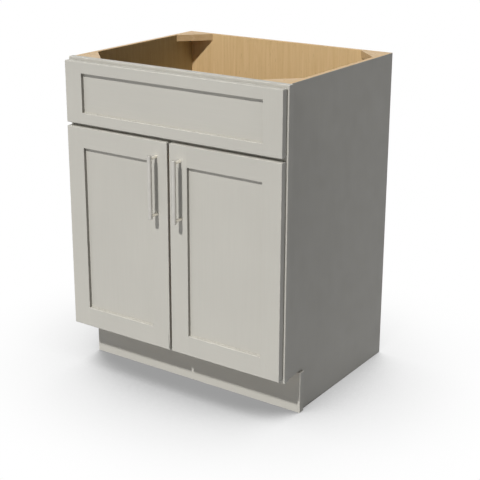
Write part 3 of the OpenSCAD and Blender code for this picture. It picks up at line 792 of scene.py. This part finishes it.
class VANITY_OT_hinges(bpy.types.Operator):
    """Finishes the concealed hinges' arms, cups and pins"""

    bl_idname = "vanity.hinges"
    bl_label = "Hinges"

    def execute(self, context):
        radius = context.scene.vanity_metal.ease / 2
        for side in SIDES:
            door = f"{side}_door"
            bodies = {f"hinge_arms_{side}": "cabinet"}
            bodies.update({f"{door}_hinge_{part}": door for part in ("cups", "pins")})
            for node, body in bodies.items():
                mesh = merged_copy(node)
                ease(mesh, [edge for edge in mesh.edges if sharp(edge, 60)], radius)
                add_piece(f"{node}_finished", mesh, [zinc()], body, "zinc_steel", [node])
        return {"FINISHED"}


def islands(node):
    """The separate solids of a CAD node, each as its points."""
    mesh = merged_copy(node)
    left = set(mesh.verts)
    found = []
    while left:
        reached = [left.pop()]
        for vertex in reached:
            for edge in vertex.link_edges:
                other = edge.other_vert(vertex)
                if other in left:
                    left.remove(other)
                    reached.append(other)
        found.append([vertex.co.copy() for vertex in reached])
    mesh.free()
    return sorted(found, key=lambda points: tuple(round(value, 5) for value in points_middle(points)))


def points_middle(points):
    return [(min(p[i] for p in points) + max(p[i] for p in points)) / 2 for i in range(3)]


def fastener_places(node):
    """Where each fastener of a node sits: its head's middle, the way that faces, and its length."""
    found = []
    for points in islands(node):
        middle = Vector(points_middle(points))
        reach = [max(p[i] for p in points) - min(p[i] for p in points) for i in range(3)]
        along = reach.index(max(reach))
        spread = {}
        for way in (-1, 1):
            end = middle[along] + way * reach[along] / 2
            near = [p for p in points if abs(p[along] - end) < 0.1 * MM]
            spread[way] = max((p - middle).length_squared - (p[along] - middle[along]) ** 2 for p in near)
        way = max(spread, key=spread.get)
        facing = Vector([way if i == along else 0 for i in range(3)])
        found.append((middle + facing * reach[along] / 2, facing, reach[along]))
    return found


def pad_places(node):
    """Where each pad of a node sits: the middle of its back, the way it faces, and its thickness."""
    found = []
    for points in islands(node):
        middle = Vector(points_middle(points))
        low = min(p.y for p in points)
        thickness = max(p.y for p in points) - low
        found.append((Vector((middle.x, low + thickness, middle.z)), Vector((0, 1, 0)), thickness))
    return found


GEOMETRY = "NodeSocketGeometry"
SLOT_SIZES = {"Slot Width": 0.8 * MM, "Slot Depth": 1.2 * MM}


def turned(tree, profile, segments=32):
    """A turned solid on the Z axis, from its profile of (radius, height) from the top down."""
    parts = []
    for (upper_radius, upper), (lower_radius, lower) in zip(profile, profile[1:]):
        inputs = {
            "Vertices": segments, "Radius Top": upper_radius, "Radius Bottom": lower_radius,
            "Depth": calc(tree, "SUBTRACT", upper, lower),
        }
        ring = add_node(tree, "GeometryNodeMeshCone", inputs, fill_type="NONE").outputs["Mesh"]
        parts.append(lifted(tree, ring, lower))
    for radius, height in (profile[0], profile[-1]):
        disc = add_node(
            tree, "GeometryNodeMeshCircle", {"Vertices": segments, "Radius": radius}, fill_type="NGON"
        ).outputs["Mesh"]
        parts.append(lifted(tree, disc, height))
    whole = add_node(tree, "GeometryNodeJoinGeometry")
    for part in parts:
        tree.links.new(part, whole.inputs[0])
    merge = {"Geometry": whole.outputs[0], "Distance": 0.002 * MM}
    return add_node(tree, "GeometryNodeMergeByDistance", merge).outputs[0]


def lifted(tree, geometry, height):
    shift = add_node(tree, "ShaderNodeCombineXYZ", {2: height}).outputs[0]
    return add_node(
        tree, "GeometryNodeTransform", {"Geometry": geometry, "Translation": shift}
    ).outputs[0]


def scatter(tree, given, made, solid):
    """Puts a solid at each place, turned the way that the place faces, and gives it its material."""
    facing = add_node(tree, "GeometryNodeInputNamedAttribute", {"Name": "facing"}, data_type="FLOAT_VECTOR")
    turn = add_node(tree, "FunctionNodeAlignRotationToVector", {"Vector": facing.outputs[0]}, axis="Z")
    places = {"Points": given["Places"], "Instance": solid, "Rotation": turn.outputs[0]}
    placed = add_node(tree, "GeometryNodeInstanceOnPoints", places).outputs[0]
    real = add_node(tree, "GeometryNodeRealizeInstances", {"Geometry": placed}).outputs[0]
    finish = {"Geometry": real, "Material": given["Material"]}
    connect(tree, add_node(tree, "GeometryNodeSetMaterial", finish).outputs[0], made["Geometry"])


def repeat_group(name, sizes):
    """A Geometry Nodes group with the places of what it repeats, named sizes and a material."""
    inputs = [
        ("Places", GEOMETRY, None),
        *((label, NUMBER, default) for label, default in sizes.items()),
        ("Material", "NodeSocketMaterial", None),
    ]
    return new_group(name, inputs, [("Geometry", GEOMETRY)], "GeometryNodeTree")


def slotted(tree, given, solid):
    """Cuts two crossed slots into the top of a head."""
    cutters = add_node(tree, "GeometryNodeJoinGeometry")
    long = times(tree, given["Head"], 0.5)
    deep = times(tree, given["Slot Depth"], 2)
    width = given["Slot Width"]
    for size in ((long, width, deep), (width, long, deep)):
        combined = add_node(tree, "ShaderNodeCombineXYZ", dict(enumerate(size))).outputs[0]
        cube = add_node(tree, "GeometryNodeMeshCube", {"Size": combined}).outputs["Mesh"]
        tree.links.new(cube, cutters.inputs[0])
    cut = {"Mesh 1": solid, "Mesh 2": cutters.outputs[0], "Self Intersection": True}
    settings = {"operation": "DIFFERENCE", "solver": "EXACT"}
    return add_node(tree, "GeometryNodeMeshBoolean", cut, **settings).outputs["Mesh"]


def wood_screw_group():
    """A countersunk wood screw at each place."""
    sizes = {"Head": 7 * MM, "Shank": 3.5 * MM, "Length": 32 * MM, **SLOT_SIZES}
    tree, given, made = repeat_group("Wood screws", sizes)
    head, shank = (times(tree, given[label], 0.5) for label in ("Head", "Shank"))
    under_head = calc(tree, "SUBTRACT", shank, head)
    length = times(tree, given["Length"], -1)
    point = calc(tree, "MULTIPLY_ADD", given["Shank"], 1.5, length)
    profile = [
        (times(tree, head, 0.96), 0.0),
        (head, -0.12 * MM),
        (shank, under_head),
        (shank, point),
        (times(tree, shank, 0.2), length),
    ]
    scatter(tree, given, made, slotted(tree, given, turned(tree, profile)))
    return tree


def machine_screw_group():
    """A low round-headed machine screw at each place."""
    sizes = {"Head": 7.8 * MM, "Head Height": 2.4 * MM, "Shank": 4 * MM, "Length": 28 * MM, **SLOT_SIZES}
    tree, given, made = repeat_group("Machine screws", sizes)
    head, shank = (times(tree, given[label], 0.5) for label in ("Head", "Shank"))
    under_head = times(tree, given["Head Height"], -1)
    length = times(tree, given["Length"], -1)
    profile = [
        (times(tree, head, 0.72), 0.0),
        (times(tree, head, 0.88), times(tree, under_head, 0.1)),
        (times(tree, head, 0.97), times(tree, under_head, 0.3)),
        (head, times(tree, under_head, 0.55)),
        (head, calc(tree, "ADD", under_head, 0.02 * MM)),
        (shank, under_head),
        (shank, calc(tree, "ADD", length, 0.4 * MM)),
        (times(tree, shank, 0.8), length),
    ]
    scatter(tree, given, made, slotted(tree, given, turned(tree, profile)))
    return tree


def nail_group():
    """A finishing nail at each place."""
    sizes = {"Head": 2.6 * MM, "Shank": 1.6 * MM, "Length": 32 * MM}
    tree, given, made = repeat_group("Finishing nails", sizes)
    head, shank = (times(tree, given[label], 0.5) for label in ("Head", "Shank"))
    length = times(tree, given["Length"], -1)
    profile = [
        (times(tree, head, 0.85), 0.0),
        (head, -0.2 * MM),
        (head, -0.7 * MM),
        (shank, -1.0 * MM),
        (shank, calc(tree, "ADD", length, 2 * MM)),
        (times(tree, shank, 0.25), length),
    ]
    scatter(tree, given, made, turned(tree, profile, 16))
    return tree


def pad_group():
    """A low domed pad at each place."""
    tree, given, made = repeat_group("Domed pads", {"Diameter": 8 * MM, "Thickness": 2 * MM})
    radius = times(tree, given["Diameter"], 0.5)
    profile = []
    for step in range(6):
        turn = math.radians(15 + 15 * step)
        across = times(tree, radius, 0.5 + 0.5 * math.sin(turn))
        profile.append((across, times(tree, given["Thickness"], -0.6 * (1 - math.cos(turn)))))
    profile[0] = (times(tree, radius, 0.58), 0.0)
    profile.append((radius, times(tree, given["Thickness"], -1)))
    scatter(tree, given, made, turned(tree, profile))
    return tree


GROUP_MAKERS.update({
    "Wood screws": wood_screw_group,
    "Machine screws": machine_screw_group,
    "Finishing nails": nail_group,
    "Domed pads": pad_group,
})


def build_repeats(node, body, places, group_name, inputs, finish):
    """Makes a node's repeated pieces with Geometry Nodes, as one plain mesh."""
    data = bpy.data.meshes.new(f"{node}_fitted")
    data.from_pydata([spot for spot, facing, length in places], [], [])
    ways = data.attributes.new("facing", "FLOAT_VECTOR", "POINT")
    ways.data.foreach_set("vector", [value for spot, facing, length in places for value in facing])
    piece = bpy.data.objects.new(f"{node}_fitted", data)
    bpy.context.scene.collection.objects.link(piece)
    modifier = piece.modifiers.new("Repeats", "NODES")
    modifier.node_group = group(group_name)
    sockets = {item.name: item.identifier for item in modifier.node_group.interface.items_tree}
    for label, value in {**inputs, "Material": finish}.items():
        modifier[sockets[label]] = value
    bake_modifiers(piece)
    turn_outwards(piece.data)
    smooth_rounds(piece)
    declare(piece, body, SLOT_OF[node], [node])


def turn_outwards(data):
    """Turns a plain mesh's faces outwards."""
    mesh = bmesh.new()
    mesh.from_mesh(data)
    bmesh.ops.recalc_face_normals(mesh, faces=mesh.faces)
    mesh.to_mesh(data)
    mesh.free()


class VANITY_OT_fasteners(bpy.types.Operator):
    """Makes the screws and nails of the cabinet, the hinges and the handles"""

    bl_idname = "vanity.fasteners"
    bl_label = "Screws and nails"

    def execute(self, context):
        look = context.scene.vanity_metal
        slot = {"Slot Width": look.slot_width, "Slot Depth": look.slot_depth}
        cabinet = {node: "cabinet" for node in ("back_screws", "false_front_screws", "hinge_arm_screws")}
        doors = {f"{side}_door_cup_screws": f"{side}_door" for side in SIDES}
        for node, body in {**cabinet, **doors}.items():
            places = fastener_places(node)
            build_repeats(node, body, places, "Wood screws", {"Length": places[0][2], **slot}, zinc())
        for side in SIDES:
            node = f"{side}_handle_screws"
            places = fastener_places(node)
            build_repeats(
                node, f"{side}_door", places, "Machine screws", {"Length": places[0][2], **slot}, zinc("Y")
            )
        for node in ("frame_nails", "corner_block_nails", "toe_nails"):
            places = fastener_places(node)
            build_repeats(node, "cabinet", places, "Finishing nails", {"Length": places[0][2]}, zinc())
        return {"FINISHED"}


class VANITY_OT_pads(bpy.types.Operator):
    """Makes the doors' bumpers and the false front's pads"""

    bl_idname = "vanity.pads"
    bl_label = "Bumpers and pads"

    def execute(self, context):
        bodies = {"false_front_pads": "cabinet"}
        bodies.update({f"{side}_door_bumpers": f"{side}_door" for side in SIDES})
        for node, body in bodies.items():
            places = pad_places(node)
            build_repeats(node, body, places, "Domed pads", {"Thickness": places[0][2]}, rubber())
        return {"FINISHED"}


# The camera's place, its turn about Z from straight ahead, its tilt down, its lens and its shift
CAMERA_PLACE = (1.69982, -2.43821, 1.39520)
CAMERA_AZIMUTH = math.radians(34.95)
CAMERA_ELEVATION = math.radians(17.584)
CAMERA_LENS = 84.90
CAMERA_SHIFT = (0.0298, -0.0655)
# The way that each lamp shines, and how many degrees wide it looks
LAMPS = {
    "key": ((-0.02, 1.0, -1.05), 2.5),
    "top": ((0.0, 0.0, -1.0), 12),
    "front": ((0.0, 1.0, -0.12), 25),
}
FLOOR_REACH = 12
# The light that comes from the floor and from all round is a little bluer than the lamps'
COOL = (0.95, 0.965, 1.0)
# The floor's open sky, from low to high, and how bright it looks there: under the cabinet, and round it
CONTACT_CORE = (0.34, 0.72, 0.33, 0.83)
CONTACT_RIM = (0.62, 1.0, 0, 0.17)


def white_for_eyes(tree, seen, unseen):
    """One shader for rays that are seen, straight or in a mirror or glass, and another for the rest."""
    path = add_node(tree, "ShaderNodeLightPath").outputs
    straight = calc(tree, "MAXIMUM", path["Is Camera Ray"], path["Is Glossy Ray"])
    every = calc(tree, "MAXIMUM", straight, path["Is Transmission Ray"])
    return add_node(tree, "ShaderNodeMixShader", {0: every, 1: unseen, 2: seen}).outputs[0]


class VANITY_OT_stage(bpy.types.Operator):
    """Makes the floor, the light from all round, the lamps and the camera"""

    bl_idname = "vanity.stage"
    bl_label = "Stage"

    def execute(self, context):
        scene = context.scene
        look = scene.vanity_stage
        self.make_floor(scene, look)
        self.make_world(scene, look)
        for name, (way, angle) in LAMPS.items():
            self.make_lamp(scene, f"{name}_lamp", getattr(look, name), way, math.radians(angle))
        self.make_camera(scene)
        scene.view_settings.view_transform = "Standard"
        return {"FINISHED"}

    def make_floor(self, scene, look):
        mesh = bmesh.new()
        bmesh.ops.create_grid(mesh, x_segments=1, y_segments=1, size=FLOOR_REACH)
        bmesh.ops.translate(mesh, verts=mesh.verts, vec=(0, 0, -0.1 * MM))
        data = bpy.data.meshes.new("floor")
        mesh.to_mesh(data)
        mesh.free()
        pale = bpy.data.materials.new("pale_floor")
        pale.use_nodes = True
        tree = pale.node_tree
        tree.nodes.remove(tree.nodes["Principled BSDF"])
        near = add_node(tree, "ShaderNodeAmbientOcclusion", {"Distance": look.shadow_reach}, samples=16)
        core = ramp(tree, near.outputs["AO"], *CONTACT_CORE)
        light = calc(tree, "ADD", core, ramp(tree, near.outputs["AO"], *CONTACT_RIM))
        white = add_node(tree, "ShaderNodeEmission", {"Color": (1, 1, 1, 1), "Strength": light}).outputs[0]
        grey = add_node(tree, "ShaderNodeBsdfDiffuse", {"Color": shaded(COOL, look.floor)}).outputs[0]
        connect(tree, white_for_eyes(tree, white, grey), tree.nodes["Material Output"].inputs["Surface"])
        data.materials.append(pale)
        floor = bpy.data.objects.new("floor", data)
        scene.collection.objects.link(floor)

    def make_lamp(self, scene, name, strength, way, angle):
        data = bpy.data.lights.new(name, "SUN")
        data.energy = strength
        data.angle = angle
        lamp = bpy.data.objects.new(name, data)
        lamp.rotation_euler = Vector(way).to_track_quat("-Z", "Y").to_euler()
        scene.collection.objects.link(lamp)

    def make_world(self, scene, look):
        world = bpy.data.worlds.new("all_round")
        world.use_nodes = True
        tree = world.node_tree
        fill = tree.nodes["Background"]
        fill.inputs["Color"].default_value = opaque(COOL)
        fill.inputs["Strength"].default_value = look.fill
        white = add_node(tree, "ShaderNodeBackground", {"Color": (1, 1, 1, 1), "Strength": 1.0}).outputs[0]
        surface = white_for_eyes(tree, white, fill.outputs[0])
        connect(tree, surface, tree.nodes["World Output"].inputs["Surface"])
        scene.world = world

    def make_camera(self, scene):
        lens = bpy.data.cameras.new("camera")
        lens.lens = CAMERA_LENS
        lens.sensor_width = 36
        lens.shift_x, lens.shift_y = CAMERA_SHIFT
        camera = bpy.data.objects.new("camera", lens)
        level = math.cos(CAMERA_ELEVATION)
        way = Vector((
            -math.sin(CAMERA_AZIMUTH) * level, math.cos(CAMERA_AZIMUTH) * level, -math.sin(CAMERA_ELEVATION)
        ))
        camera.location = CAMERA_PLACE
        camera.rotation_euler = way.to_track_quat("-Z", "Y").to_euler()
        scene.collection.objects.link(camera)
        scene.camera = camera


STEPS = (
    VANITY_OT_carcass,
    VANITY_OT_face_frame,
    VANITY_OT_blocks,
    VANITY_OT_false_front,
    VANITY_OT_doors,
    VANITY_OT_handles,
    VANITY_OT_hinges,
    VANITY_OT_fasteners,
    VANITY_OT_pads,
    VANITY_OT_stage,
)
LOOKS = {
    "vanity_paint": VanityPaint,
    "vanity_wood": VanityWood,
    "vanity_metal": VanityMetal,
    "vanity_stage": VanityStage,
}


class VANITY_PT_steps(bpy.types.Panel):
    """Lists the steps that make the vanity, and what they can be told"""

    bl_idname = "VANITY_PT_steps"
    bl_label = "Vanity sink base"
    bl_space_type = "VIEW_3D"
    bl_region_type = "UI"
    bl_category = "Vanity"

    def draw(self, context):
        for name, kind in LOOKS.items():
            box = self.layout.box()
            for label in kind.__annotations__:
                box.prop(getattr(context.scene, name), label)
        for step in STEPS:
            self.layout.operator(step.bl_idname)


def register():
    for kind in (*LOOKS.values(), *STEPS, VANITY_PT_steps):
        bpy.utils.register_class(kind)
    for name, kind in LOOKS.items():
        setattr(bpy.types.Scene, name, bpy.props.PointerProperty(type=kind))


def unregister():
    for name in LOOKS:
        delattr(bpy.types.Scene, name)
    for kind in reversed((*LOOKS.values(), *STEPS, VANITY_PT_steps)):
        bpy.utils.unregister_class(kind)


def main():
    register()
    bpy.ops.vanity.carcass()
    bpy.ops.vanity.face_frame()
    bpy.ops.vanity.blocks()
    bpy.ops.vanity.false_front()
    bpy.ops.vanity.doors()
    bpy.ops.vanity.handles()
    bpy.ops.vanity.hinges()
    bpy.ops.vanity.fasteners()
    bpy.ops.vanity.pads()
    bpy.ops.vanity.stage()


if __name__ == "__main__":
    main()
